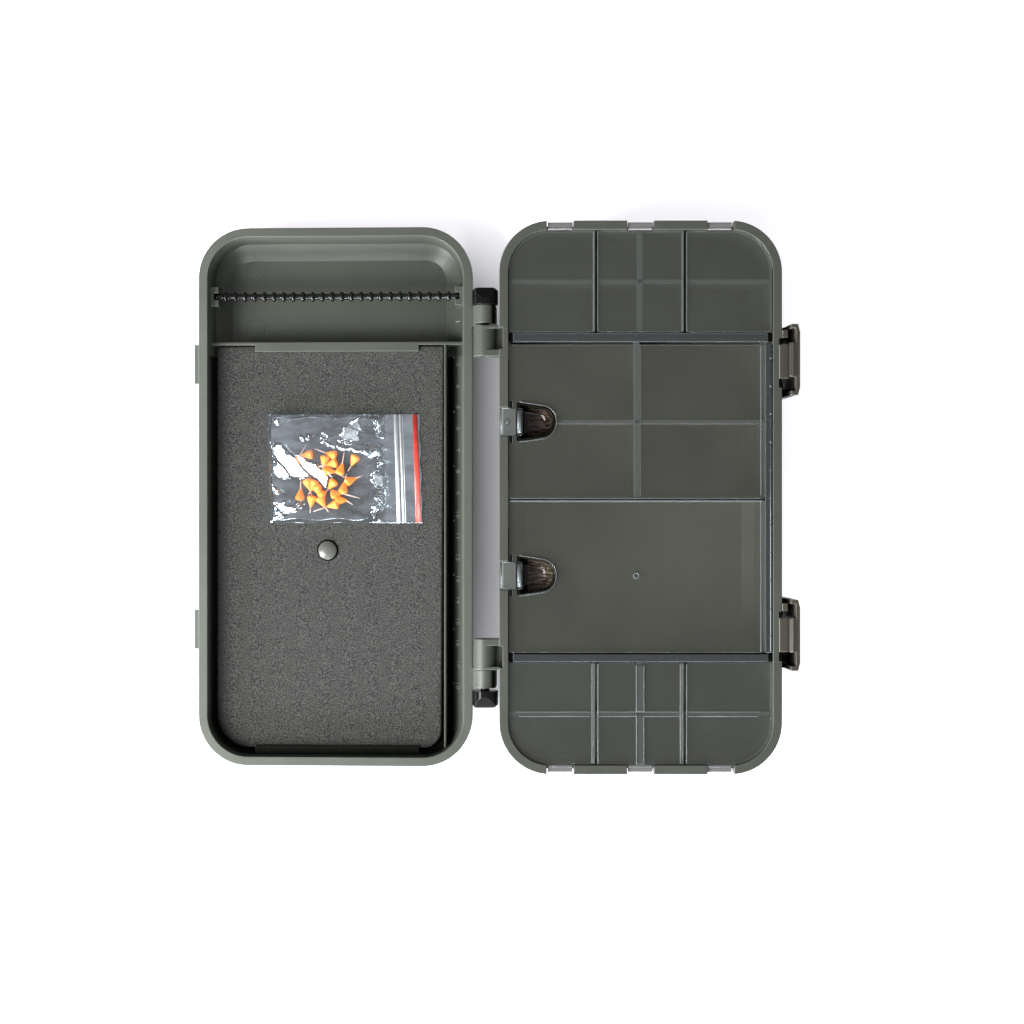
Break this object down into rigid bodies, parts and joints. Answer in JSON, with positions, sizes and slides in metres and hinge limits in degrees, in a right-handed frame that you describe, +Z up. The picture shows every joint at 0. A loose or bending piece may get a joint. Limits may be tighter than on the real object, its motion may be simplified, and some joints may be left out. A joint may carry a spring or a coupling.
{
  "type": "rig box",
  "caption": "Shallow case with a hinged lid, two side latches, clear flaps over small compartments, and a foam board, hook rail and ruler in the lid.",
  "frame": {"origin": "centre of the base's underside, on the table", "axes": "+Z up, +X from the lid hinge towards the latches, +Y towards the end with the hook rail; the row is stored with its lid open"},
  "size_m": [0.2746, 0.2485, 0.0539],
  "materials": {
    "case_plastic": "fine matte, olive grey",
    "dark_plastic": "dark, glossy",
    "pin_plastic": "satin black",
    "clear_plastic": "clear",
    "foam": "closed-cell foam, speckled dark grey",
    "stud": "satin dark grey",
    "rail_plastic": "glossy black",
    "film": "clear film",
    "seal": "clear, ribbed",
    "stripe": "red",
    "pins": "orange",
    "steel": "bright"
  },
  "bodies": {
    "base": {"base_shell": "case_plastic", "hinge_pin_upper": "pin_plastic", "hinge_pin_lower": "pin_plastic", "latch_pin_upper": "steel", "latch_pin_lower": "steel", "upper_hinge_strip": "clear_plastic", "lower_hinge_strip": "clear_plastic", "side_hinge_strip": "clear_plastic"},
    "lid": {"lid_shell": "case_plastic", "foam_board": "foam", "foam_rivet": "stud", "hook_rail": "rail_plastic", "pin_bag": "film", "bag_seal": "seal", "bag_stripe": "stripe", "foam_pins": "pins"},
    "latch_upper": {"latch_upper": "case_plastic"},
    "latch_lower": {"latch_lower": "case_plastic"},
    "large_flap_upper": {"large_flap_upper": "clear_plastic", "finger_scoop_upper": "dark_plastic"},
    "large_flap_lower": {"large_flap_lower": "clear_plastic", "finger_scoop_lower": "dark_plastic"},
    "upper_flap_left": {"upper_flap_left": "clear_plastic"},
    "upper_flap_middle": {"upper_flap_middle": "clear_plastic"},
    "upper_flap_right": {"upper_flap_right": "clear_plastic"},
    "lower_flap_left": {"lower_flap_left": "clear_plastic"},
    "lower_flap_middle": {"lower_flap_middle": "clear_plastic"},
    "lower_flap_right": {"lower_flap_right": "clear_plastic"}
  },
  "joints": [
    {"name": "lid_hinge", "type": "hinge", "parent": "base", "child": "lid", "pos_m": [-0.0698, 0, 0.0355], "axis": [0, 1, 0], "range_deg": [0, 182.25]},
    {"name": "latch_hinge_upper", "type": "hinge", "parent": "base", "child": "latch_upper", "pos_m": [0.0641, 0.0612, 0.017], "axis": [0, -1, 0], "range_deg": [-70, 3.3]},
    {"name": "latch_hinge_lower", "type": "hinge", "parent": "base", "child": "latch_lower", "pos_m": [0.0641, -0.0612, 0.017], "axis": [0, -1, 0], "range_deg": [-70, 3.3]},
    {"name": "large_flap_hinge_upper", "type": "hinge", "parent": "base", "child": "large_flap_upper", "pos_m": [0.0558, 0.0345, 0.0452], "axis": [0, -1, 0], "range_deg": [-110, 0]},
    {"name": "large_flap_hinge_lower", "type": "hinge", "parent": "base", "child": "large_flap_lower", "pos_m": [0.0558, -0.0345, 0.0452], "axis": [0, -1, 0], "range_deg": [-110, 0]},
    {"name": "upper_flap_hinge_left", "type": "hinge", "parent": "base", "child": "upper_flap_left", "pos_m": [-0.0393, 0.0739, 0.0452], "axis": [-1, 0, 0], "range_deg": [-110, 0]},
    {"name": "upper_flap_hinge_middle", "type": "hinge", "parent": "base", "child": "upper_flap_middle", "pos_m": [0, 0.0739, 0.0452], "axis": [-1, 0, 0], "range_deg": [-110, 0]},
    {"name": "upper_flap_hinge_right", "type": "hinge", "parent": "base", "child": "upper_flap_right", "pos_m": [0.0393, 0.0739, 0.0452], "axis": [-1, 0, 0], "range_deg": [-110, 0]},
    {"name": "lower_flap_hinge_left", "type": "hinge", "parent": "base", "child": "lower_flap_left", "pos_m": [-0.0393, -0.0739, 0.0452], "axis": [1, 0, 0], "range_deg": [-110, 0]},
    {"name": "lower_flap_hinge_middle", "type": "hinge", "parent": "base", "child": "lower_flap_middle", "pos_m": [0, -0.0739, 0.0452], "axis": [1, 0, 0], "range_deg": [-110, 0]},
    {"name": "lower_flap_hinge_right", "type": "hinge", "parent": "base", "child": "lower_flap_right", "pos_m": [0.0393, -0.0739, 0.0452], "axis": [1, 0, 0], "range_deg": [-110, 0]}
  ]
}
